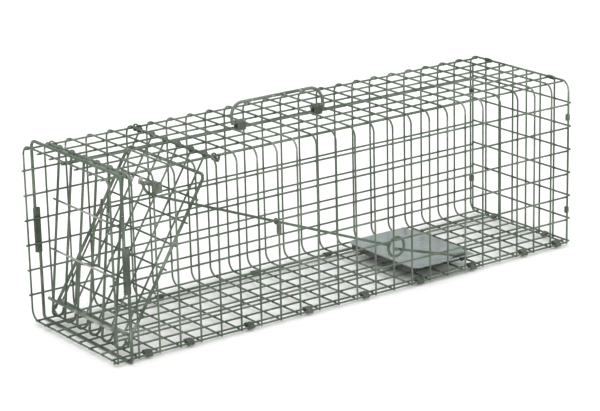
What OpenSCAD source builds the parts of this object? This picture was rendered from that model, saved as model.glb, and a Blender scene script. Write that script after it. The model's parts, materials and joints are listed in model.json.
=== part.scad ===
// Live catch trap: a welded wire cage with an inclined drop door, a swinging
// lock gate in front of it, and a treadle plate that trips the door.
// Millimetres. X runs from the door end to the closed end, Z is up.
// The origin is on the ground, under the middle of the whole trap.

/* [Cage mesh] */
// Mesh squares along the cage
cells_long = 24; // [20:1:30]
// Mesh pitch along the cage
cell_l = 25.4; // [21:0.1:31]
// Mesh squares across the top, between its two edge wires
cells_wide = 6; // [5:1:8]
// Mesh pitch across the top
cell_w = 25; // [21:0.1:31]
// Mesh squares up each side, below the corner bend
cells_high = 6; // [5:1:8]
// Mesh pitch up each side
cell_h = 27.5; // [23:0.1:33]
// Height from the highest side wire to the top face
shoulder = 27.5; // [22:0.5:33]
// Diameter of the mesh wire
mesh_d = 2.1; // [1.6:0.1:2.8]
// Centreline radius of the bends between sides, top and floor
bend_r = 11; // [8:0.5:15]
// Width of the lip that the far side turns in on the floor
floor_lip = 31; // [27:0.5:38]
// Length of wire left past the front cross wires
wire_stub = 4; // [2:0.5:6]

/* [Front hoop] */
// Diameter of the hoop rod
hoop_d = 3.4; // [2.8:0.1:4.2]
// Centreline radius of the hoop's upper corners
hoop_bend = 8; // [6:0.5:14]
// Centreline radius of the hoop's lower corners
hoop_foot_bend = 4.4; // [3.6:0.1:4.6]
// Distance of the hoop's middle from the front of the mesh
hoop_x = 13.4; // [9:0.2:15]
// Length of the crimped ferrules that join the two hoop halves
ferrule_len = 49; // [30:1:60]
// Wall of the ferrules
ferrule_wall = 0.6; // [0.5:0.1:1]

/* [Door] */
// Mesh squares from the front to the door's hinge rod
door_hinge_cell = 5; // [4:1:6]
// Distance of the closed door's foot from the front of the mesh
door_toe = 22; // [20:0.5:30]
// Diameter of the hinge rods
hinge_d = 3.2; // [2.6:0.1:4]
// Diameter of the door's frame rod
frame_d = 3.4; // [2.8:0.1:4.2]
// Gap between the door's frame rod and the side mesh
door_side_gap = 8.5; // [7.5:0.5:12]
// Distance of the frame's top bar from the hinge rod
frame_top = 20; // [15:0.5:26]
// Pitch of the door's cross wires
door_pitch = 26.2; // [22:0.2:30]
// Height of the frame rod's ends above the floor mesh
door_foot = 6; // [4:0.5:10]

/* [Lock gate] */
// Outward lean of the hanging gate, in degrees
gate_lean = 6; // [5:0.1:7]
// Diameter of the gate wires
gate_d = 2.8; // [2.2:0.1:3.2]
// Height of the gate's bottom bar above the start of its hooks
gate_bar_rise = 13.5; // [8:0.5:20]
// Centreline radius of the hooks at the gate's lower end
hook_r = 6.5; // [5:0.25:7]
// Height of the hooks' lowest wire above the floor mesh
hook_gap = 1.4; // [1:0.1:4]

/* [Trigger] */
// Diameter of the trigger rod
trigger_d = 2.8; // [2.3:0.1:3.4]
// Distance of the trigger rod's middle line from the outside of the near mesh wires
trigger_y = 6.2; // [6:0.1:6.6]
// Depth of the trigger rod's front bend below the top of the mesh
trigger_drop = 27; // [25:0.2:32]
// Distance of the ring's middle in front of the treadle plate
ring_ahead = 26; // [20:0.5:35]
// Height of the ring's middle
ring_z = 45.7; // [40:0.2:50]
// Centreline radius of the trigger ring
ring_r = 10.8; // [9.6:0.2:13.6]
// Diameter of the ring's wire and of the treadle arm
ring_d = 3; // [2.6:0.1:3.6]

/* [Treadle] */
// Length of the plate along the cage
plate_l = 84; // [70:1:95]
// Width of the plate across the cage
plate_w = 126; // [90:1:135]
// Height of the plate's top face
plate_z = 15; // [13:0.2:18]
// Depth of the turned-down front edge
plate_lip = 6; // [4:0.5:7]

/* [Handle] */
// Mesh squares between the handle's two clips
handle_cells = 4; // [3:1:6]
// Reach of the handle from its pivot to its grip
handle_reach = 21; // [18:1:30]
// Diameter of the handle rod
handle_d = 3.6; // [3:0.1:4]

/* [Hidden] */
$fn = 36;

// Running clearance between a pin and its eye or sleeve
run_gap = 0.06;
// Gap between pieces that are clipped together
snug = 0.05;
// How far one mesh layer sinks into the other at a weld
weld = 0.3;
clip_wall = 0.6;
// How much a sharp bend in a rod is thicker than the rod
joint_swell = 0.1;
wire_r = mesh_d / 2;
layer = mesh_d - weld;

cage_l = cells_long * cell_l;
cage_w = cells_wide * cell_w + 2 * bend_r;
cage_h = cells_high * cell_h + shoulder;
mid_y = cage_w / 2;
// Inner face of the sides, and the top face of the floor mesh
inner = layer + wire_r;
// Underside of the top mesh
ceiling = cage_h - inner;

hoop_off = wire_r + hoop_d / 2 + snug;
ground = hoop_off + hoop_d / 2;
panel_x = cage_l + mesh_d + snug;
x_first = -wire_stub;
x_last = panel_x + layer + wire_r;
x_mid = (x_first + x_last) / 2;

hinge_z = ceiling - hinge_d / 2 - snug;
eye_wires = cells_wide;
// Gate wires hang in the middle of the top mesh squares, door wires just short of their far wires
function eye_y(i) = bend_r + (i + 0.5) * cell_w;
function door_eye_y(i) = bend_r + (i + 0.8) * cell_w;
rod_stub = 3;
gate_hinge_x = cell_l + 4.6;

door_hinge_x = door_hinge_cell * cell_l + 7;
door_angle = atan((hinge_z - inner - door_foot) / (door_hinge_x - door_toe));
door_len = (hinge_z - inner - door_foot) / sin(door_angle);
door_w = cage_w - 2 * (inner + door_side_gap) - frame_d;
bar_back = 11;
door_rows = floor((door_len - bar_back - frame_top - door_pitch / 2) / door_pitch);

hook_bottom = (hinge_z - inner - hook_gap - gate_d / 2 - hook_r * sin(gate_lean)) / cos(gate_lean);
hook_u = hook_bottom - hook_r;
hook_tip = 2;
gate_rows = 2;
gate_bar_u = hook_u - gate_bar_rise;
gate_pitch = gate_bar_u / (gate_rows + 1);

plate_t = 1;
pivot_d = 3.2;
pivot_cell = 18.75;
pivot_x = pivot_cell * cell_l;
pivot_z = plate_z - plate_t - pivot_d / 2 - run_gap;
plate_x = pivot_x - pivot_d / 2 - plate_t - plate_l;
plate_y = inner + 2.4;
plate_corner = 10;

latch_cell = 2;
latch_x = latch_cell * cell_l + 7.2;
latch_plate_h = 12;
latch_plate_z = cells_high * cell_h + wire_r + 1.5;
latch_z = latch_plate_z + 8;
latch_plate_y = wire_r + 0.25;

trigger_front_x = latch_x - 4;
trigger_front_z = cage_h - trigger_drop;
ring_x = plate_x - ring_ahead;
trigger_angle = atan((trigger_front_z - ring_z) / (ring_x - trigger_front_x));
guide_cell = 8;
guide_x = guide_cell * cell_l;
guide_z = trigger_front_z - (guide_x - trigger_front_x) * tan(trigger_angle);
guide_t = 0.8;
nose_r = 19;
nose_turn = 65;
arm_y = trigger_y + trigger_d / 2 + ring_d / 2 + 1.2;

latch_pin_d = 3;
latch_t = 1.2;
latch_y = trigger_y + trigger_d / 2 + 0.5;

handle_z = cage_h + wire_r + handle_d / 2 + 1.3;
handle_clip_l = 13;
handle_clip_wall = 1.2;
handle_bend = 15;
handle_stand = 80;
handle_w = handle_cells * cell_l + handle_clip_l + handle_d + 2;
handle_x = 8.5 * cell_l - handle_clip_l / 2 - handle_d / 2 - 1;

green = [0.42, 0.47, 0.41];
dark_green = [0.25, 0.29, 0.22];
steel = [0.62, 0.67, 0.68];

// Everything is drawn from the corner of the mesh and moved to the trap's own origin.
module placed() { translate([-x_mid, -mid_y, ground]) children(); }

module rod(from, to, d) {
    run = to - from;
    span = norm(run);
    translate(from)
        rotate([0, acos(run[2] / span), atan2(run[1], run[0])])
            cylinder(d = d, h = span);
}

// A round bend of a rod in its own X-Y plane
module bend(r, d, start = 0, turn = 90) {
    rotate([0, 0, start])
        rotate_extrude(angle = turn)
            translate([r, 0])
                circle(d = d);
}

// A rod bent to a U: legs from y = 0, cross bar at y = h, centred on x = 0
module u_rod(w, h, r, d) {
    for (side = [-1, 1]) {
        rod([side * w / 2, 0, 0], [side * w / 2, h - r, 0], d);
        translate([side * (w / 2 - r), h - r, 0])
            bend(r, d, side > 0 ? 0 : 90);
    }
    rod([r - w / 2, h, 0], [w / 2 - r, h, 0], d);
}

// A slot with round ends from a to b, as a flat outline, with its waist pinched a little
waist = 0.94;
module stadium(a, b, r) {
    run = b - a;
    translate(a) circle(r = r);
    translate(b) circle(r = r);
    translate(a)
        rotate(atan2(run[1], run[0]))
            translate([0, -waist * r])
                square([norm(run), 2 * waist * r]);
}

// A sheet clip crimped round two parallel wires of radii ra and rb
module crimp(a, b, ra, rb, len) {
    r = max(ra, rb) + snug;
    translate([0, 0, -len / 2])
        linear_extrude(len)
            difference() {
                stadium(a, b, r + clip_wall);
                stadium(a, b, r);
            }
}

module along_x() { rotate([90, 0, 90]) children(); }
module along_y() { rotate([90, 0, 0]) children(); }

// A wire eye round a hinge rod that runs along Y, its wire leaving along X
module eye(d) {
    along_y() bend(hinge_d / 2 + run_gap + d / 2, d, 0, 360);
}

function eye_start(d) = hinge_d / 2 + run_gap + 0.7 * d / 2;

module door_place() {
    translate([door_hinge_x, 0, hinge_z]) rotate([0, 180 - door_angle, 0]) children();
}

module gate_place() {
    translate([gate_hinge_x, 0, hinge_z]) rotate([0, 90 + gate_lean, 0]) children();
}

// Cage

module near_side_mesh() {
    color(green) placed() {
        for (i = [0:cells_long])
            rod([i * cell_l, 0, -wire_r], [i * cell_l, 0, cage_h - bend_r - snug], mesh_d);
        for (k = [0:cells_high])
            rod([-wire_stub, layer, k * cell_h], [cage_l + wire_r, layer, k * cell_h], mesh_d);
    }
}

module top_mesh() {
    color(green) placed() {
        for (i = [0:cells_long])
            translate([i * cell_l, mid_y, cage_h - bend_r])
                along_x() {
                    for (side = [-1, 1])
                        translate([side * (mid_y - bend_r), 0, 0])
                            bend(bend_r, mesh_d, side > 0 ? 0 : 90);
                    rod([bend_r - mid_y, bend_r, 0], [mid_y - bend_r, bend_r, 0], mesh_d);
                }
        for (j = [0:cells_wide])
            rod([-wire_stub, bend_r + j * cell_w, cage_h - layer],
                [cage_l + wire_r, bend_r + j * cell_w, cage_h - layer], mesh_d);
    }
}

module far_side_mesh() {
    color(green) placed() {
        for (i = [0:cells_long]) {
            rod([i * cell_l, cage_w, bend_r], [i * cell_l, cage_w, cage_h - bend_r - snug], mesh_d);
            translate([i * cell_l, cage_w - bend_r, bend_r])
                along_x() bend(bend_r, mesh_d, 270);
            rod([i * cell_l, cage_w - bend_r, 0],
                [i * cell_l, cage_w - floor_lip - wire_r, 0], mesh_d);
        }
        for (k = [1:cells_high])
            rod([-wire_stub, cage_w - layer, k * cell_h],
                [cage_l + wire_r, cage_w - layer, k * cell_h], mesh_d);
        for (y = [cage_w - bend_r - 2, cage_w - floor_lip])
            rod([-wire_stub, y, layer], [cage_l + wire_r, y, layer], mesh_d);
    }
}

// The floor's near edge wire lies beside the side's lowest wire, its far one beside the lip's
floor_y0 = layer + mesh_d + 3.2;
floor_y1 = cage_w - floor_lip - mesh_d - snug;
floor_step = (floor_y1 - floor_y0) / cells_wide;

module floor_mesh() {
    color(green) placed() {
        for (i = [0:cells_long])
            rod([i * cell_l, floor_y0 - 2, 0], [i * cell_l, floor_y1 + wire_r - snug, 0], mesh_d);
        for (j = [0:cells_wide])
            rod([-wire_stub, floor_y0 + j * floor_step, layer],
                [cage_l + wire_r, floor_y0 + j * floor_step, layer], mesh_d);
    }
}

back_cells = cells_wide + 1;
back_step = (cage_w - 2 * layer) / back_cells;

module back_mesh() {
    color(green) placed() {
        for (j = [0:back_cells]) {
            edge = j == 0 || j == back_cells;
            top = edge ? cage_h - bend_r : cage_h - layer + 2;
            rod([panel_x, layer + j * back_step, -wire_r / 2],
                [panel_x, layer + j * back_step, top], mesh_d);
        }
        for (k = [0:cells_high])
            rod([panel_x + layer, 0, k * cell_h + layer],
                [panel_x + layer, cage_w, k * cell_h + layer], mesh_d);
        rod([panel_x + layer, bend_r, cage_h - layer], [panel_x + layer, cage_w - bend_r, cage_h - layer],
            mesh_d);
    }
}

module floor_seam_clips() {
    clips = 8;
    clip_l = 10;
    color(dark_green) placed()
        for (n = [0:clips]) {
            cell = min(max(floor(n * cells_long / clips), 1), cells_long - 1);
            translate([(cell + 0.5) * cell_l, 0, 0])
                along_x() crimp([layer, 0], [floor_y0, layer], wire_r, wire_r, clip_l);
        }
}

module floor_lip_clips() {
    clips = 4;
    clip_l = 10;
    color(dark_green) placed()
        for (n = [1:clips]) {
            cell = round(n * cells_long / (clips + 1));
            translate([(cell + 0.5) * cell_l, 0, 0])
                along_x()
                    crimp([floor_y1, layer], [cage_w - floor_lip, layer], wire_r, wire_r, clip_l);
        }
}

module back_panel_clips() {
    clip_l = 6;
    top_near = (layer + back_step + bend_r + cell_w) / 2;
    top_far = (layer + (back_cells - 1) * back_step + bend_r + (cells_wide - 1) * cell_w) / 2;
    low_near = (floor_y0 + floor_step + layer + 2 * back_step) / 2;
    low_far = (layer + (back_cells - 2) * back_step + floor_y1) / 2;
    color(dark_green) placed() {
        for (k = [1.45, cells_high - 0.55])
            for (side = [-1, 1])
                translate([0, mid_y, k * cell_h])
                    crimp([cage_l, side * mid_y], [panel_x, side * (mid_y - layer)], wire_r, wire_r, clip_l);
        for (y = [top_near, top_far])
            translate([0, y, 0])
                along_y()
                    crimp([cage_l, cage_h], [panel_x + layer, cage_h - layer], wire_r, wire_r, clip_l);
        for (y = [low_near, low_far])
            translate([0, y, 0])
                along_y()
                    crimp([cage_l, 0], [panel_x + layer, layer], wire_r, wire_r, clip_l);
    }
}

// Front hoop: an upper and a lower half, side by side where the ferrules join them

hoop_pair = hoop_d + snug;
ferrule_z = cage_h / 2;
hoop_w = cage_w + 2 * hoop_off;
hoop_lap = ferrule_len / 2 - 1.5;

module hoop_upper() {
    color(green) placed()
        translate([hoop_x - hoop_pair / 2, mid_y, ferrule_z - hoop_lap])
            along_x() u_rod(hoop_w, cage_h + hoop_off - ferrule_z + hoop_lap, hoop_bend, hoop_d);
}

module hoop_lower() {
    color(green) placed()
        translate([hoop_x + hoop_pair / 2, mid_y, ferrule_z + hoop_lap])
            mirror([0, 0, 1])
                along_x() u_rod(hoop_w, ferrule_z + hoop_lap + hoop_off, hoop_foot_bend, hoop_d);
}

module hoop_ferrules() {
    color(dark_green) placed()
        for (y = [-hoop_off, cage_w + hoop_off])
            translate([hoop_x, y, ferrule_z])
                linear_extrude(ferrule_len, center = true)
                    difference() {
                        stadium([-hoop_pair / 2, 0], [hoop_pair / 2, 0], hoop_d / 2 + snug + ferrule_wall);
                        stadium([-hoop_pair / 2, 0], [hoop_pair / 2, 0], hoop_d / 2 + snug);
                    }
}

// Hinge rods and their clips

module hinge_rod(x) {
    rod([x, inner + rod_stub, hinge_z], [x, cage_w - inner - rod_stub, hinge_z], hinge_d);
}

module hinge_clips(x) {
    clip_l = 14;
    for (y = [bend_r, cage_w - bend_r])
        translate([x, y, 0])
            crimp_over(clip_l);
}

// A strap round a hinge rod and the lengthwise mesh wire above it
module crimp_over(len) {
    low = hinge_z - hinge_d / 2 - snug - clip_wall;
    high = cage_h - layer + wire_r + snug + clip_wall;
    strap = 6;
    difference() {
        translate([-strap / 2, -strap / 2, low]) cube([strap, strap, high - low]);
        rod([-len, 0, cage_h - layer], [len, 0, cage_h - layer], mesh_d + 2 * snug);
        rod([0, -len, hinge_z], [0, len, hinge_z], hinge_d + 2 * snug);
    }
}

module door_hinge_rod() { color(green) placed() hinge_rod(door_hinge_x); }
module door_hinge_clips() { color(dark_green) placed() hinge_clips(door_hinge_x); }
module gate_hinge_rod() { color(green) placed() hinge_rod(gate_hinge_x); }
module gate_hinge_clips() { color(dark_green) placed() hinge_clips(gate_hinge_x); }

// Door, drawn flat: X runs down the door from the hinge rod, Z points into the cage

module door_mesh() {
    color(green) placed() door_place() {
        for (i = [0:eye_wires - 1]) {
            translate([0, door_eye_y(i), 0]) eye(mesh_d);
            rod([eye_start(mesh_d), door_eye_y(i), 0], [door_len - bar_back + 2, door_eye_y(i), 0], mesh_d);
        }
        for (k = [1:door_rows])
            rod([frame_top + k * door_pitch, mid_y - door_w / 2 - 1, layer],
                [frame_top + k * door_pitch, mid_y + door_w / 2 + 1, layer], mesh_d);
    }
}

frame_z = -(mesh_d + frame_d) / 2 - snug;

module door_frame_rod() {
    frame_bend = 7;
    color(green) placed() door_place()
        translate([door_len, mid_y, frame_z])
            rotate([0, 0, 90])
                u_rod(door_w, door_len - frame_top, frame_bend, frame_d);
}

module door_bottom_bar() {
    color(green) placed() door_place()
        rod([door_len - bar_back, mid_y - door_w / 2 + frame_d / 2 + snug, frame_z],
            [door_len - bar_back, mid_y + door_w / 2 - frame_d / 2 - snug, frame_z], frame_d);
}

// Lock gate, drawn flat: X runs down the gate from its hinge rod, Z points into the cage

gate_layer = -gate_d / 2 - mesh_d / 2 + weld;
gate_side = 4;

module gate_mesh() {
    color(green) placed() gate_place() {
        for (i = [0:eye_wires - 1])
            translate([0, eye_y(i), 0]) {
                eye(gate_d);
                rod([eye_start(gate_d), 0, 0], [hook_u, 0, 0], gate_d);
                translate([hook_u, 0, hook_r])
                    along_y() bend(hook_r, gate_d, 270, 180);
                rod([hook_u, 0, 2 * hook_r], [hook_u - hook_tip, 0, 2 * hook_r], gate_d);
            }
        for (k = [1:gate_rows])
            rod([k * gate_pitch, eye_y(0) - gate_side, gate_layer],
                [k * gate_pitch, eye_y(eye_wires - 1) + gate_side, gate_layer], mesh_d);
    }
}

module gate_bottom_bar() {
    color(green) placed() gate_place()
        rod([gate_bar_u, eye_y(0) - gate_side, -(gate_d + frame_d) / 2 - snug],
            [gate_bar_u, eye_y(eye_wires - 1) + gate_side, -(gate_d + frame_d) / 2 - snug], frame_d);
}

// A cranked rod that hangs inside the gate, from its first cross wire to its bottom bar
module lock_rod() {
    lock_d = 3;
    z = (gate_d + lock_d) / 2 + snug;
    upper_y = eye_y(2) - 8;
    lower_y = eye_y(3) + 9;
    top_u = gate_pitch * 0.65;
    knee_u = gate_pitch * 2.1;
    points = [[top_u, upper_y, z], [knee_u - 8, upper_y, z], [knee_u, lower_y, z],
        [gate_bar_u - 4, lower_y, z]];
    color(dark_green) placed() gate_place() {
        for (n = [0:2])
            rod(points[n], points[n + 1], lock_d);
        for (n = [1, 2])
            translate(points[n]) sphere(d = lock_d + joint_swell);
    }
}

// Trigger: one rod with a curved nose in front and a ring behind, rocking in the guide

module trigger_rod() {
    run = norm([ring_x - trigger_front_x, trigger_front_z - ring_z]);
    color(steel) placed()
        translate([trigger_front_x, trigger_y, trigger_front_z])
            rotate([0, trigger_angle, 0]) {
                rod([0, 0, 0], [run - ring_r, 0, 0], trigger_d);
                mirror([1, 0, 0])
                    translate([0, 0, nose_r])
                        along_y() bend(nose_r, trigger_d, 270, nose_turn);
                translate([run, 0, 0])
                    along_y() bend(ring_r, ring_d, 0, 360);
            }
}

// A strip folded round a side wire, with the trigger rod passing through both of its legs
module trigger_guide() {
    play = 0.3;
    guide_h = 19;
    fold = wire_r + snug;
    reach = trigger_y + trigger_d / 2 + play + 1.2;
    color(dark_green) placed()
        difference() {
            translate([guide_x, 0, guide_z - guide_h * 0.7])
                linear_extrude(guide_h)
                    difference() {
                        stadium([0, 0], [0, reach], fold + guide_t);
                        stadium([0, 0], [0, reach + 2 * (fold + guide_t)], fold);
                        translate([-3 * fold, reach])
                            square([6 * fold, 2 * (fold + guide_t)]);
                    }
            rod([guide_x - 10, trigger_y, guide_z + 10 * tan(trigger_angle)],
                [guide_x + 10, trigger_y, guide_z - 10 * tan(trigger_angle)], trigger_d + 2 * play);
            for (k = [1:cells_high])
                rod([guide_x - 10, layer, k * cell_h], [guide_x + 10, layer, k * cell_h],
                    mesh_d + 2 * snug);
        }
}

// Latch: a bracket crimped on a side wire, its pin, and the sheet latch that swings on the pin

module latch_bracket() {
    low = latch_plate_z;
    color(dark_green) placed()
        difference() {
            union() {
                translate([latch_cell * cell_l, 0, low])
                    cylinder(d = mesh_d + 2 * (snug + clip_wall), h = latch_plate_h);
                translate([latch_cell * cell_l, latch_plate_y, low])
                    cube([latch_x - latch_cell * cell_l + 4, latch_t, latch_plate_h]);
            }
            translate([latch_cell * cell_l, 0, low - 1])
                cylinder(d = mesh_d + 2 * snug, h = latch_plate_h + 2);
            rod([latch_x, -5, latch_z], [latch_x, 5, latch_z], latch_pin_d + 2 * snug);
        }
}

module latch_pin() {
    head_t = 0.9;
    color(steel) placed() {
        rod([latch_x, latch_plate_y - snug, latch_z],
            [latch_x, latch_y + latch_t + 0.4, latch_z], latch_pin_d);
        for (y = [latch_plate_y - snug - head_t, latch_y + latch_t + 0.4])
            rod([latch_x, y, latch_z], [latch_x, y + head_t, latch_z], latch_pin_d + 1.6);
    }
}

module trip_latch() {
    arm_l = 18;
    arm_r = 2.2;
    color(steel) placed()
        translate([latch_x, latch_y + latch_t, latch_z])
            rotate([90, 0, 0])
                linear_extrude(latch_t)
                    difference() {
                        union() {
                            circle(d = latch_pin_d + 5);
                            rotate(162) stadium([0, 0], [arm_l, 0], arm_r);
                            rotate(162) translate([arm_l - arm_r, -6]) square([2 * arm_r, 6]);
                        }
                        circle(d = latch_pin_d + 2 * run_gap);
                    }
}

// Treadle

bracket_w = 4;
function bracket_y(n) = floor_y0 + n * floor_step;
bracket_near = bracket_y(1);
bracket_far = bracket_y(cells_wide - 1);

module treadle_plate() {
    knuckle_gap = 0.4;
    curl = pivot_d / 2 + run_gap + plate_t - 0.05;
    knuckle_y0 = bracket_near + bracket_w / 2 + knuckle_gap;
    knuckle_y1 = min(bracket_far - bracket_w / 2 - knuckle_gap, plate_y + plate_w - 2);
    color(steel) placed()
        difference() {
            union() {
                translate([plate_x, plate_y, plate_z - plate_t])
                    linear_extrude(plate_t) {
                        translate([plate_corner, plate_corner]) circle(r = plate_corner);
                        translate([plate_corner, plate_w - plate_corner]) circle(r = plate_corner);
                        translate([plate_corner, 0]) square([plate_l - plate_corner, plate_w]);
                        translate([0, plate_corner])
                            square([plate_corner, plate_w - 2 * plate_corner]);
                    }
                translate([plate_x, plate_y + plate_corner, plate_z - plate_t - plate_lip])
                    cube([plate_t, plate_w - 2 * plate_corner, plate_lip + plate_t / 2]);
                translate([plate_x + plate_l - 3, knuckle_y0, plate_z - plate_t])
                    cube([3 + pivot_x - plate_x - plate_l, knuckle_y1 - knuckle_y0, plate_t]);
                rod([pivot_x, knuckle_y0, pivot_z], [pivot_x, knuckle_y1, pivot_z], 2 * curl);
            }
            rod([pivot_x, 0, pivot_z], [pivot_x, cage_w, pivot_z], pivot_d + 2 * run_gap);
        }
}

arm_z = plate_z + ring_d / 2 + 0.1;
arm_end_z = ring_z - 3;

module treadle_arm() {
    back_x = plate_x + plate_l - 8;
    knee_x = plate_x + plate_l - 24;
    color(steel) placed() {
        rod([back_x, arm_y, arm_z], [knee_x, arm_y, arm_z], ring_d);
        translate([knee_x, arm_y, arm_z]) sphere(d = ring_d + joint_swell);
        rod([knee_x, arm_y, arm_z], [ring_x, arm_y, arm_end_z], ring_d);
        translate([ring_x, arm_y, arm_end_z]) sphere(d = ring_d + joint_swell);
        rod([ring_x, arm_y, arm_end_z], [ring_x, inner + 0.6, arm_end_z], ring_d);
    }
}

module treadle_pivot_rod() {
    color(steel) placed()
        rod([pivot_x, bracket_near - bracket_w, pivot_z], [pivot_x, bracket_far + bracket_w, pivot_z],
            pivot_d);
}

module treadle_brackets() {
    strap_x = pivot_d + 2 * clip_wall;
    low = layer - wire_r - snug - clip_wall;
    high = pivot_z + pivot_d / 2 + snug + clip_wall;
    color(dark_green) placed()
        for (y = [bracket_near, bracket_far])
            difference() {
                translate([pivot_x - strap_x / 2, y - bracket_w / 2, low])
                    cube([strap_x, bracket_w, high - low]);
                rod([pivot_x - 9, y, layer], [pivot_x + 9, y, layer], mesh_d + 2 * snug);
                rod([pivot_x, y - 9, pivot_z], [pivot_x, y + 9, pivot_z], pivot_d + 2 * snug);
            }
}

// Handle, folded down towards the far side

handle_y = bend_r + floor(cells_wide / 2) * cell_w;
handle_mid = handle_x + handle_w / 2;
clip_off = handle_w / 2 - handle_d / 2 - 1 - handle_clip_l / 2;

module handle_bail() {
    color(steel) placed() {
        translate([handle_mid, handle_y, handle_z]) rotate([handle_stand, 0, 0]) {
            u_rod(handle_w, handle_reach, handle_bend, handle_d);
            for (side = [-1, 1]) {
                translate([side * handle_w / 2, 0, 0]) sphere(d = handle_d);
                rod([side * handle_w / 2, 0, 0],
                    [side * (clip_off - handle_clip_l / 2 - 1), 0, 0], handle_d);
            }
        }
    }
}

module handle_clips() {
    r = handle_d / 2 + run_gap;
    color(dark_green) placed()
        for (side = [-1, 1])
            translate([handle_mid + side * clip_off, handle_y, 0])
                along_x()
                    linear_extrude(handle_clip_l, center = true)
                        difference() {
                            stadium([0, cage_h - layer], [0, handle_z], r + handle_clip_wall);
                            translate([0, cage_h - layer]) circle(r = wire_r + snug);
                            translate([0, handle_z]) circle(r = r);
                        }
}

near_side_mesh();
top_mesh();
far_side_mesh();
floor_mesh();
back_mesh();
hoop_upper();
hoop_lower();
hoop_ferrules();
floor_seam_clips();
floor_lip_clips();
back_panel_clips();
door_hinge_rod();
door_hinge_clips();
door_mesh();
door_frame_rod();
door_bottom_bar();
gate_hinge_rod();
gate_hinge_clips();
gate_mesh();
gate_bottom_bar();
lock_rod();
trigger_rod();
trigger_guide();
latch_bracket();
latch_pin();
trip_latch();
treadle_plate();
treadle_arm();
treadle_pivot_rod();
treadle_brackets();
handle_bail();
handle_clips();
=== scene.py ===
import json
import math
import random
import bpy
from mathutils import Matrix, Vector


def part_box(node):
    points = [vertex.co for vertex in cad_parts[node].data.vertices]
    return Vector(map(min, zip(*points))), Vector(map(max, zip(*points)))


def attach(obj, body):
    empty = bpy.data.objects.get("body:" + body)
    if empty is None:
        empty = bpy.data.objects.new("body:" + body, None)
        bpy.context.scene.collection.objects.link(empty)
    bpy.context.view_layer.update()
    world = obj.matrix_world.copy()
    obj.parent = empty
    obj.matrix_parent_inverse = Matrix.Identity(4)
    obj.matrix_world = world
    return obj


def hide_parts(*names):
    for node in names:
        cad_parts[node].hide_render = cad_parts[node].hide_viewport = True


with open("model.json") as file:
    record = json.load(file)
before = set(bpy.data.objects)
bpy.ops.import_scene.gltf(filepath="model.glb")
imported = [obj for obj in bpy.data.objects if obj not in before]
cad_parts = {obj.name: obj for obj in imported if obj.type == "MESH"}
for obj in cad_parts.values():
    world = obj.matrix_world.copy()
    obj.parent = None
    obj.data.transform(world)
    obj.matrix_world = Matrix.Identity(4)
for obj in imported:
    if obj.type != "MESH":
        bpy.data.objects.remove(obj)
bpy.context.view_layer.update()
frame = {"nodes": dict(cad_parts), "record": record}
bpy.ops.object.select_all(action="DESELECT")

# Viewpoint. The trap is seen from its door end and its trigger side, a little from above,
# through a long lens, so that its lines stay almost parallel.
azimuth, elevation, roll = math.radians(-35.69), math.radians(17.12), math.radians(-1.34)
back = Vector((math.sin(azimuth) * math.cos(elevation), -math.cos(azimuth) * math.cos(elevation),
               math.sin(elevation)))
right = Vector((math.cos(azimuth), math.sin(azimuth), 0))
up = back.cross(right)
turned_right = math.cos(roll) * right + math.sin(roll) * up
turned_up = math.cos(roll) * up - math.sin(roll) * right
bpy.ops.object.camera_add()
camera = bpy.context.object
camera.name = "viewpoint"
camera.data.sensor_width = 36
camera.data.lens = 138.1
camera.data.clip_end = 50
camera.matrix_world = Matrix((turned_right, turned_up, back)).transposed().to_4x4()
camera.location = (-1.4231, -1.9636, 0.8375)
bpy.context.scene.camera = camera


# Near side panel. Welded mesh of 2 mm wire on a 1 inch pitch, upright wires outside and long
# wires inside, dipped in grey-green coating after it is welded, which pools round each weld.
wire_radius = 0.00105
wire_stub = 0.004
weld_sink = 0.0003
weld_reach = 0.0019
weld_swell = 1.17
cut_taper = 0.0007
cut_narrow = 0.93
coat_green = (0.052, 0.082, 0.050)
coat_pale = (0.110, 0.152, 0.104)
# The darkest tone is used for random dirt and for painted shade in hollows.
coat_dirt_and_shade = (0.022, 0.028, 0.018)
draws = random.Random(24)


def colour_mix(nodes, links, factor, first, second):
    """Mixes two colours, or two node outputs, by a factor output."""
    mix = nodes.new("ShaderNodeMix")
    mix.data_type = "RGBA"
    links.new(factor, mix.inputs["Factor"])
    for socket, value in ((mix.inputs[6], first), (mix.inputs[7], second)):
        if isinstance(value, tuple):
            socket.default_value = (*value, 1)
        else:
            links.new(value, socket)
    return mix.outputs[2]


def noise(nodes, links, scale, detail, rough=0.55):
    """A noise over the object's own coordinates."""
    place = nodes.new("ShaderNodeTexCoord")
    texture = nodes.new("ShaderNodeTexNoise")
    texture.inputs["Scale"].default_value = scale
    texture.inputs["Detail"].default_value = detail
    texture.inputs["Roughness"].default_value = rough
    links.new(place.outputs["Object"], texture.inputs["Vector"])
    return texture.outputs["Fac"]


def ramp(nodes, links, value, low, high, out_low=0.0, out_high=1.0):
    """Stretches the part of a value between low and high to out_low..out_high."""
    stretch = nodes.new("ShaderNodeMapRange")
    stretch.interpolation_type = "SMOOTHSTEP"
    links.new(value, stretch.inputs["Value"])
    for socket, number in zip(("From Min", "From Max", "To Min", "To Max"), (low, high, out_low, out_high)):
        stretch.inputs[socket].default_value = number
    return stretch.outputs["Result"]


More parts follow.
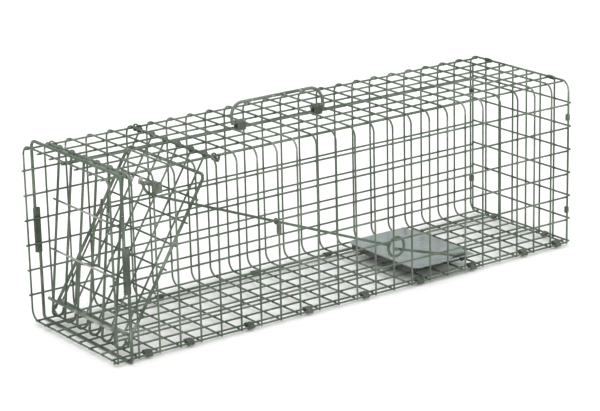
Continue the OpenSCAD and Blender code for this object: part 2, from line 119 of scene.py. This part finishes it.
def coated_metal(name, body, pale, dirt_and_shade, rough=(0.34, 0.58), bare=(0.50, 0.51, 0.48), worn=0.69,
                 peel=0.10, coat=0.12):
    """A coating that varies in tone at random, takes random dirt, is darkened in hollows as painted shade and
    is worn to metal on proud edges.
    """
    material = bpy.data.materials.new(name)
    material.use_nodes = True
    nodes, links = material.node_tree.nodes, material.node_tree.links
    shader = nodes["Principled BSDF"]
    broad = noise(nodes, links, 19, 4)
    fine = noise(nodes, links, 240, 5)
    grit = noise(nodes, links, 1500, 3, 0.6)
    geometry = nodes.new("ShaderNodeNewGeometry")
    shade = colour_mix(nodes, links, ramp(nodes, links, broad, 0.34, 0.66), body, pale)
    shade = colour_mix(nodes, links, ramp(nodes, links, fine, 0.50, 0.72, 0, 0.55), shade, dirt_and_shade)
    # Painted shade: where the pointiness is low, in hollows, the colour is darkened towards the darkest tone.
    hollow_painted_shade = ramp(nodes, links, geometry.outputs["Pointiness"], 0.49, 0.40, 0, 0.75)
    shade = colour_mix(nodes, links, hollow_painted_shade, shade, dirt_and_shade)
    patches = ramp(nodes, links, fine, worn, worn + 0.05)
    proud = ramp(nodes, links, geometry.outputs["Pointiness"], 0.53, 0.62)
    both = nodes.new("ShaderNodeMath")
    both.operation = "MAXIMUM"
    links.new(patches, both.inputs[0])
    rubbed = nodes.new("ShaderNodeMath")
    rubbed.operation = "MULTIPLY"
    links.new(proud, rubbed.inputs[0])
    links.new(ramp(nodes, links, broad, 0.48, 0.62, 0, 0.8), rubbed.inputs[1])
    links.new(rubbed.outputs[0], both.inputs[1])
    shade = colour_mix(nodes, links, both.outputs[0], shade, bare)
    links.new(shade, shader.inputs["Base Color"])
    links.new(ramp(nodes, links, both.outputs[0], 0, 1, 0, 0.85), shader.inputs["Metallic"])
    links.new(ramp(nodes, links, fine, 0.30, 0.75, *rough), shader.inputs["Roughness"])
    shader.inputs["Coat Weight"].default_value = coat
    shader.inputs["Coat Roughness"].default_value = 0.3
    bump = nodes.new("ShaderNodeBump")
    bump.inputs["Strength"].default_value = peel
    bump.inputs["Distance"].default_value = 0.0006
    links.new(grit, bump.inputs["Height"])
    under = nodes.new("ShaderNodeBump")
    under.inputs["Strength"].default_value = peel * 1.6
    under.inputs["Distance"].default_value = 0.0012
    links.new(fine, under.inputs["Height"])
    links.new(under.outputs["Normal"], bump.inputs["Normal"])
    links.new(bump.outputs["Normal"], shader.inputs["Normal"])
    return material


def draw_wires(name, paths, radius, sides=10):
    """Wires of one radius as one mesh. A path is a list of (point, how much thicker there)."""
    bpy.ops.curve.primitive_bezier_curve_add()
    wires = bpy.context.object
    wires.name = name
    curve = wires.data
    curve.splines.clear()
    curve.dimensions = "3D"
    curve.bevel_depth = radius
    curve.bevel_resolution = (sides - 4) // 2
    curve.use_fill_caps = True
    for path in paths:
        spline = curve.splines.new("POLY")
        spline.points.add(len(path) - 1)
        for point, (place, thick) in zip(spline.points, path):
            point.co = (*place, 1)
            point.radius = thick
    bpy.ops.object.convert(target="MESH")
    wires = bpy.context.object
    bpy.ops.object.mode_set(mode="EDIT")
    bpy.ops.mesh.select_all(action="SELECT")
    bpy.ops.mesh.remove_doubles(threshold=0.000002)
    bpy.ops.mesh.normals_make_consistent(inside=False)
    bpy.ops.object.mode_set(mode="OBJECT")
    bpy.ops.object.shade_smooth_by_angle(angle=math.radians(50))
    bpy.ops.object.select_all(action="DESELECT")
    return wires


def welded(start, end, crossings, wander=0.00022):
    """A straight wire from start to end that swells where it is welded, and wanders a little."""
    start, end = Vector(start), Vector(end)
    length = (end - start).length
    along = (end - start) / length
    stops = [(0.0, cut_narrow), (cut_taper, 1.0), (length - cut_taper, 1.0), (length, cut_narrow)]
    flank = 1 + 0.6 * (weld_swell - 1)
    for cross in crossings:
        for step, thick in ((-1, 1.0), (-0.5, flank), (0, weld_swell), (0.5, flank), (1, 1.0)):
            spot = cross + step * weld_reach
            if cut_taper < spot < length - cut_taper:
                stops.append((spot, thick))
    stops.sort()
    side = along.orthogonal().normalized()
    other = along.cross(side)
    waves = [(draws.uniform(-1, 1), draws.uniform(18, 40), draws.uniform(0, 6.3)) for _ in range(4)]
    path = []
    for at, thick in stops:
        drift = [sum(size * math.sin(rate * at + phase) for size, rate, phase in waves[n::2]) / 2
                 for n in (0, 1)]
        path.append((start + along * at + wander * (drift[0] * side + drift[1] * other), thick))
    return path


def set_in_cage(wires, finish, stands_for):
    """Coats drawn wires, which stand for a node of the frame and stay still with the cage."""
    wires.data.materials.append(finish)
    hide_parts(stands_for)
    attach(wires, "cage")


green_coat = coated_metal("green_coating", coat_green, coat_pale, coat_dirt_and_shade)
low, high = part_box("near_side_mesh")
cells_long = 24
rows_high = 6
row_pitch = 0.0275
front = low[0] + wire_stub
rear = high[0] - wire_radius
pitch = (rear - front) / cells_long
columns = [front + i * pitch for i in range(cells_long + 1)]
bottom = low[2] + wire_radius
rows = [bottom + k * row_pitch for k in range(rows_high + 1)]
outer_y, inner_y = low[1] + wire_radius, high[1] - wire_radius
paths = [welded((x, outer_y, low[2]), (x, outer_y, high[2]), [z - low[2] for z in rows]) for x in columns]
paths += [welded((low[0], inner_y, z), (high[0], inner_y, z), [x - low[0] for x in columns]) for z in rows]
set_in_cage(draw_wires("near_side_wires", paths, wire_radius), green_coat, "near_side_mesh")


# Top panel. The same welded mesh, bent down over both long sides, so each cross wire is one
# wire that rounds both shoulders and butts against the side panels' uprights.
low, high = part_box("top_mesh")
shoulder_radius = 0.011
top_z = high[2] - wire_radius
near_y, far_y = low[1] + wire_radius, high[1] - wire_radius
lengthwise_z = top_z - 2 * wire_radius + weld_sink
cells_wide = 6
lengthwise = [near_y + shoulder_radius + j * (far_y - near_y - 2 * shoulder_radius) / cells_wide
              for j in range(cells_wide + 1)]


def quarter(centre, x, start, turn, steps=8):
    """Points on a bend in the cage's cross-section, about centre = (y, z)."""
    for step in range(steps + 1):
        angle = math.radians(start + turn * step / steps)
        yield Vector((x, centre[0] + shoulder_radius * math.cos(angle),
                      centre[1] + shoulder_radius * math.sin(angle)))


paths = []
for x in columns:
    wire = [(spot, 1.0) for spot in quarter((near_y + shoulder_radius, top_z - shoulder_radius), x, 180, -90)]
    flat = welded((x, near_y + shoulder_radius, top_z), (x, far_y - shoulder_radius, top_z),
                  [y - near_y - shoulder_radius for y in lengthwise])
    wire += flat[2:-2]
    wire += [(spot, 1.0) for spot in quarter((far_y - shoulder_radius, top_z - shoulder_radius), x, 90, -90)]
    paths.append(wire)
paths += [welded((low[0], y, lengthwise_z), (high[0], y, lengthwise_z), [x - low[0] for x in columns])
          for y in lengthwise]
set_in_cage(draw_wires("top_wires", paths, wire_radius), green_coat, "top_mesh")


# Far side panel. Its uprights round the bottom corner as well and run on under the floor
# as a lip, which the floor panel's far edge is clipped to.
low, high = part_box("far_side_mesh")
outer_y = high[1] - wire_radius
inner_y = outer_y - 2 * wire_radius + weld_sink
under_z = low[2] + wire_radius
lip_y = low[1]
lip_gap = 0.002
lip_wires = [outer_y - shoulder_radius - lip_gap, lip_y + wire_radius]
paths = []
for x in columns:
    upright = welded((x, outer_y, high[2]), (x, outer_y, under_z + shoulder_radius),
                     [high[2] - z for z in rows[1:]])
    wire = upright[:-1]
    wire += [(spot, 1.0)
             for spot in quarter((outer_y - shoulder_radius, under_z + shoulder_radius), x, 0, -90)]
    lip = welded((x, outer_y - shoulder_radius, under_z), (x, lip_y, under_z),
                 [outer_y - shoulder_radius - y for y in lip_wires])
    paths.append(wire + lip[2:])
paths += [welded((low[0], inner_y, z), (high[0], inner_y, z), [x - low[0] for x in columns])
          for z in rows[1:]]
floor_layer = under_z + 2 * wire_radius - weld_sink
paths += [welded((low[0], y, floor_layer), (high[0], y, floor_layer), [x - low[0] for x in columns])
          for y in lip_wires]
set_in_cage(draw_wires("far_side_wires", paths, wire_radius), green_coat, "far_side_mesh")


# Floor panel. A flat piece of the mesh laid with its long wires upwards, clipped to the near
# side's lowest wire and to the far side's lip.
low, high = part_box("floor_mesh")
floor_stub = 0.002
edge_near = low[1] + floor_stub
edge_far = high[1] - wire_radius
floor_runs = [edge_near + j * (edge_far - edge_near) / cells_wide for j in range(cells_wide + 1)]
paths = [welded((x, low[1], under_z), (x, high[1], under_z), [y - low[1] for y in floor_runs])
         for x in columns]
paths += [welded((low[0], y, floor_layer), (high[0], y, floor_layer), [x - low[0] for x in columns])
          for y in floor_runs]
set_in_cage(draw_wires("floor_wires", paths, wire_radius), green_coat, "floor_mesh")


# Closed end. A separate square of the same mesh, upright wires inside, that stands across the
# back and is held to the four panels by wound clips.
end_gaps = 7
low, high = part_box("back_mesh")
upright_x = low[0] + wire_radius
level_x = high[0] - wire_radius
edge_near = low[1] + 2 * wire_radius - weld_sink
edge_far = high[1] - 2 * wire_radius + weld_sink
uprights = [edge_near + j * (edge_far - edge_near) / end_gaps for j in range(end_gaps + 1)]
levels = [z + 2 * wire_radius - weld_sink for z in rows] + [lengthwise_z]
paths = []
for n, y in enumerate(uprights):
    reach = top_z - shoulder_radius if n in (0, end_gaps) else high[2]
    paths.append(welded((upright_x, y, low[2]), (upright_x, y, reach),
                        [z - low[2] for z in levels if z < reach]))
for z in levels:
    inset = shoulder_radius if z == lengthwise_z else 0
    paths.append(welded((level_x, low[1] + inset, z), (level_x, high[1] - inset, z),
                        [y - low[1] - inset for y in uprights]))
set_in_cage(draw_wires("end_wires", paths, wire_radius), green_coat, "back_mesh")


# Wound clips. Short lengths of soft wire wound tightly round two neighbouring wires by a clip
# gun: nine along the near bottom edge, four along the far lip and eight round the closed end.
clip_radius = 0.00070
clip_sides = 6
coil_gap = 0.00004
half_turn_steps = 7
clip_dark = (0.038, 0.054, 0.032)
# The paler of the clips' two random tones is both random tone and a painted highlight for the pale highlights
# on the wound wire.
clip_pale_highlight = (0.105, 0.130, 0.092)
# The darkest tone is used for random dirt and for painted shade in hollows.
clip_dirt_and_shade = (0.011, 0.014, 0.009)
clip_coat = coated_metal("clip_coating", clip_dark, clip_pale_highlight, clip_dirt_and_shade, rough=(0.38, 0.60),
                         bare=(0.20, 0.21, 0.18), worn=0.74, peel=0.08, coat=0.05)


def wound(first, second, axis, reach, turns=5, rise=0.00165, lift=clip_radius):
    """A wire wound along axis round two parallel wires of radius reach, through first and second.

    The wound wire's own middle runs lift above their surface, and it climbs by rise each turn.
    """
    first, second, axis = Vector(first), Vector(second), Vector(axis)
    over = (second - first).normalized()
    side = axis.cross(over)
    radius = reach + lift + coil_gap
    path = []
    total = 2 * half_turn_steps * turns
    for n in range(total + 1):
        half, part = divmod(n, half_turn_steps)
        centre, flip = (second, 1) if half % 2 == 0 else (first, -1)
        turn = math.pi * part / half_turn_steps
        spot = centre + flip * radius * (math.cos(turn) * side + math.sin(turn) * over)
        spot = spot + axis * ((n / total - 0.5) * rise * turns)
        path.append((spot, 1.0))
    return path


def set_clips(name, paths, stands_for, radius=clip_radius):
    """Draws wound clips and sets them in the cage in place of a node of the frame."""
    set_in_cage(draw_wires(name, paths, radius, clip_sides), clip_coat, stands_for)


def middle(cell):
    """The middle of a mesh square along the cage."""
    return front + (cell + 0.5) * pitch


seam_cells = [1, 3, 6, 9, 12, 15, 18, 21, 23]
side_wire_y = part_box("near_side_mesh")[1][1] - wire_radius
floor_low, floor_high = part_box("floor_mesh")
floor_edge_y = floor_low[1] + floor_stub
paths = [wound((middle(cell), side_wire_y, under_z), (middle(cell), floor_edge_y, floor_layer), (1, 0, 0),
               wire_radius) for cell in seam_cells]
set_clips("seam_clips", paths, "floor_seam_clips")

lip_cells = [5, 10, 14, 19]
floor_far_y = floor_high[1] - wire_radius
paths = [wound((middle(cell), floor_far_y, floor_layer), (middle(cell), lip_wires[1], floor_layer),
               (1, 0, 0), wire_radius) for cell in lip_cells]
set_clips("lip_clips", paths, "floor_lip_clips")

end_lift = 0.0004
end_rise = 0.00095
end_sink = 0.00045
side_clip_turns, level_clip_turns = 7, 6
end_low, end_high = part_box("back_mesh")
corner_x = front + cells_long * pitch - end_sink
paths = []
for height in (1.45, rows_high - 0.55):
    z = bottom + height * row_pitch
    for outer, inner in ((end_low[1] + wire_radius, uprights[0]), (end_high[1] - wire_radius, uprights[-1])):
        paths.append(wound((corner_x, outer, z), (upright_x - end_sink, inner, z), (0, 0, 1), wire_radius,
                           side_clip_turns, end_rise, end_lift))
roof_clips = [((uprights[1] + lengthwise[1]) / 2, top_z, lengthwise_z),
              ((uprights[-2] + lengthwise[-2]) / 2, top_z, lengthwise_z)]
floor_clips = [((floor_runs[1] + uprights[2]) / 2, under_z, floor_layer),
               ((uprights[5] + floor_runs[-1]) / 2, under_z, floor_layer)]
for y, corner_z, level_z in roof_clips + floor_clips:
    paths.append(wound((corner_x, y, corner_z), (level_x - end_sink, y, level_z), (0, 1, 0), wire_radius,
                       level_clip_turns, end_rise, end_lift))
set_clips("end_clips", paths, "back_panel_clips")


# Front hoop. Two halves of heavy rod outside the mesh, which stiffen the mouth of the cage. Their
# ends lie side by side in two long ferrules that are pressed flat.
def recoat(finish, *names):
    """Gives nodes of the frame a finish."""
    for name in names:
        slots = frame["nodes"][name].data.materials
        slots.clear()
        slots.append(finish)


recoat(green_coat, "hoop_upper", "hoop_lower")
recoat(clip_coat, "hoop_ferrules")


# Hinge rods. Two straight rods under the roof. Each end is lashed to the outermost lengthwise
# wire by soft wire, wound twice on both sides of a crossing.
rod_radius = 0.0016
lashing_radius = 0.0007
lashing_turns = 2
lashing_rise = 0.0014
lashing_apart = 0.0034
for rod, clips, name in (("door_hinge_rod", "door_hinge_clips", "door_hinge_lashing"),
                         ("gate_hinge_rod", "gate_hinge_clips", "gate_hinge_lashing")):
    recoat(green_coat, rod)
    rod_low, rod_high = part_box(rod)
    rod_x, rod_z = (rod_low[0] + rod_high[0]) / 2, (rod_low[2] + rod_high[2]) / 2
    spots = [y + off for y in (lengthwise[0], lengthwise[-1]) for off in (-lashing_apart, lashing_apart)]
    paths = [wound((rod_x, y, rod_z), (rod_x, y, lengthwise_z), (0, 1, 0), rod_radius, lashing_turns,
                   lashing_rise, lashing_radius) for y in spots]
    set_clips(name, paths, clips, lashing_radius)


# Door. Six wires that curl round the hinge rod, welded to cross wires, a bottom bar and a
# U of heavier rod along both sides and the top.
recoat(green_coat, "door_mesh", "door_frame_rod", "door_bottom_bar")


# Lock gate. Six thicker wires hanging in front of the door, each ending in a hook, with two
# cross wires, a bottom bar and a cranked lift rod. It keeps the shut door from being pushed up.
recoat(green_coat, "gate_mesh", "gate_bottom_bar")
recoat(clip_coat, "lock_rod")


# Trip rod. One long bent rod with a curved nose in front, which holds the set door, and a
# ring behind, which the treadle's arm pulls down. The coating is worn where it rubs.
rod_green = (0.052, 0.077, 0.049)
rod_pale = (0.110, 0.144, 0.102)
# The darkest tone is used for random dirt and for painted shade in hollows.
rod_dirt_and_shade = (0.024, 0.030, 0.018)
rod_coat = coated_metal("rod_coating", rod_green, rod_pale, rod_dirt_and_shade, rough=(0.30, 0.50),
                        bare=(0.30, 0.31, 0.29), worn=0.72, peel=0.06, coat=0.10)
recoat(rod_coat, "trigger_rod")


# Guide. Soft wire wound round an upright of the near side and looped once round the trip rod,
# so that the rod can rock in it. Its end is tucked in behind the upright.
def pivot(joint_name):
    """The place of a joint in the frame's record."""
    return next(joint["pos_m"] for joint in frame["record"]["behaviour"]["joints"]
                if joint["name"] == joint_name)


guide_low, guide_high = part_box("trigger_guide")
guide_x = (guide_low[0] + guide_high[0]) / 2
upright_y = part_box("near_side_mesh")[0][1] + wire_radius
trigger_low, trigger_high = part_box("trigger_rod")
trigger_y = (trigger_low[1] + trigger_high[1]) / 2
guide_radius = 0.0009
guide_turns = 7
guide_rise = 0.00165
turn_steps = 10
around = wire_radius + guide_radius
path = []
for n in range(guide_turns * turn_steps + 1):
    angle = 2 * math.pi * n / turn_steps
    path.append((Vector((guide_x + around * math.sin(angle), upright_y - around * math.cos(angle),
                         guide_low[2] + guide_radius + n / turn_steps * guide_rise)), 1.0))
rod_play = 0.0004
loop_radius = (trigger_high[1] - trigger_low[1]) / 2 + guide_radius + rod_play
loop_bottom = pivot("trigger_pivot")[2] - loop_radius
loop_start = 0.0002
loop_drift = 0.0018
reach_steps, loop_steps = 4, 12
start_z = path[-1][0].z
for n in range(1, reach_steps + 1):
    part = n / reach_steps
    path.append((Vector((guide_x + around * (1 - part) + loop_start,
                         upright_y - around * (1 - part) + (trigger_y - upright_y) * part,
                         start_z + (loop_bottom - start_z) * part)), 1.0))
for n in range(1, loop_steps + 1):
    angle = 2 * math.pi * n / loop_steps
    path.append((Vector((guide_x + loop_start + loop_drift * n / loop_steps,
                         trigger_y + loop_radius * math.sin(angle),
                         loop_bottom + loop_radius * (1 - math.cos(angle)))), 1.0))
tail = Vector((0.0022, 0.0030, 0.0010))
path.append((Vector((guide_x, upright_y, loop_bottom)) + tail, 1.0))
set_in_cage(draw_wires("guide_wire", [path], guide_radius, 8), clip_coat, "trigger_guide")


# Latch. A bracket crimped on the near side, a headed pin through it and a small sheet pawl
# that swings on the pin beside the trip rod's nose.
recoat(clip_coat, "latch_bracket", "latch_pin")
recoat(green_coat, "trip_latch")


# Treadle. A smooth plate with a glossy blue-grey face and a turned-down front edge,
# hung on a rod in two straps, with a bent arm welded along one side. The front edge and the
# underside are coloured dark brown, a painted shade.
plate_face = (0.185, 0.250, 0.240)
plate_pale = (0.205, 0.275, 0.264)
# The darkest tone is used for random dirt and for painted shade in hollows.
plate_dirt_and_shade = (0.160, 0.218, 0.208)
# Painted shade: a dark brown for the turned-down front edge and the underside.
lip_painted_shade = (0.040, 0.036, 0.026)
plate_coat = coated_metal("plate_coating", plate_face, plate_pale, plate_dirt_and_shade, rough=(0.15, 0.24),
                          bare=(0.34, 0.38, 0.37), worn=0.80, peel=0.01, coat=0.5)
plate_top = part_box("treadle_plate")[1][2]
nodes, links = plate_coat.node_tree.nodes, plate_coat.node_tree.links
place = nodes.new("ShaderNodeTexCoord")
apart = nodes.new("ShaderNodeSeparateXYZ")
links.new(place.outputs["Object"], apart.inputs["Vector"])
# Painted shade: colour more than about a millimetre below the plate's top face is mixed to the dark brown.
painted_shade_below = ramp(nodes, links, apart.outputs["Z"], plate_top - 0.0005, plate_top - 0.0016, 0, 0.93)
shader = nodes["Principled BSDF"]
face = shader.inputs["Base Color"].links[0].from_socket
links.new(colour_mix(nodes, links, painted_shade_below, face, lip_painted_shade), shader.inputs["Base Color"])
recoat(plate_coat, "treadle_plate")
recoat(rod_coat, "treadle_arm", "treadle_pivot_rod")
recoat(clip_coat, "treadle_brackets")


# Carry handle. A low bail of bent rod standing on the roof. Its ends turn inward and are held
# to the middle lengthwise wire by two wound clips that they turn in. Its coating has a paler
# tone and more bright bare patches than the other rods, a painted highlight.
handle_green = (0.060, 0.086, 0.056)
handle_pale_highlight = (0.150, 0.182, 0.142)
# The darkest tone is used for random dirt and for painted shade in hollows.
handle_dirt_and_shade = (0.028, 0.034, 0.022)
# Painted highlight: a paler tone and more bright bare patches than on the other rods.
handle_coat = coated_metal("handle_coating", handle_green, handle_pale_highlight, handle_dirt_and_shade, rough=(0.26, 0.44),
                           bare=(0.46, 0.47, 0.44), worn=0.60, peel=0.05, coat=0.15)
recoat(handle_coat, "handle_bail")
bail_radius = 0.0018
bail_play = 0.00006
handle_clip_length = 0.013
handle_clip_radius = 0.00088
handle_clip_turns = 6
handle_clip_rise = 0.00185
bail_y, bail_z = pivot("handle_hinge")[1:]
handle_low, handle_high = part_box("handle_clips")
clip_places = (handle_low[0] + handle_clip_length / 2, handle_high[0] - handle_clip_length / 2)
paths = [wound((x, bail_y, lengthwise_z), (x, bail_y, bail_z), (1, 0, 0), bail_radius + bail_play,
               handle_clip_turns, handle_clip_rise, handle_clip_radius) for x in clip_places]
set_clips("handle_clips_wound", paths, "handle_clips", handle_clip_radius)


# Ground and light. The trap stands on a wide white sheet, just under its lowest rods, and is
# lit by three large soft lights and a pale room.
bpy.ops.mesh.primitive_plane_add(size=24, location=(0, 0, -0.0002))
ground = bpy.context.object
ground.name = "ground_sheet"
paper = bpy.data.materials.new("white_paper")
paper.use_nodes = True
paper.node_tree.nodes["Principled BSDF"].inputs["Base Color"].default_value = (0.90, 0.90, 0.89, 1)
paper.node_tree.nodes["Principled BSDF"].inputs["Roughness"].default_value = 0.9
ground.data.materials.append(paper)
bpy.ops.object.select_all(action="DESELECT")
for name, place, size, power in (("key_light", (-2.2, -2.4, 2.6), 2.2, 70),
                                 ("side_light", (2.8, -1.6, 1.8), 2.0, 22),
                                 ("top_light", (0.2, 0.6, 3.2), 3.0, 60)):
    bpy.ops.object.light_add(type="AREA", location=place)
    light = bpy.context.object
    light.name = name
    light.data.size = size
    light.data.energy = power
    light.rotation_euler = (Vector((0, 0, 0.1)) - Vector(place)).to_track_quat("-Z", "Y").to_euler()
world = bpy.data.worlds.new("studio")
world.use_nodes = True
world.node_tree.nodes["Background"].inputs["Color"].default_value = (1, 1, 1, 1)
world.node_tree.nodes["Background"].inputs["Strength"].default_value = 0.7
bpy.context.scene.world = world
bpy.context.scene.view_settings.view_transform = "Standard"

bpy.ops.object.select_all(action="DESELECT")
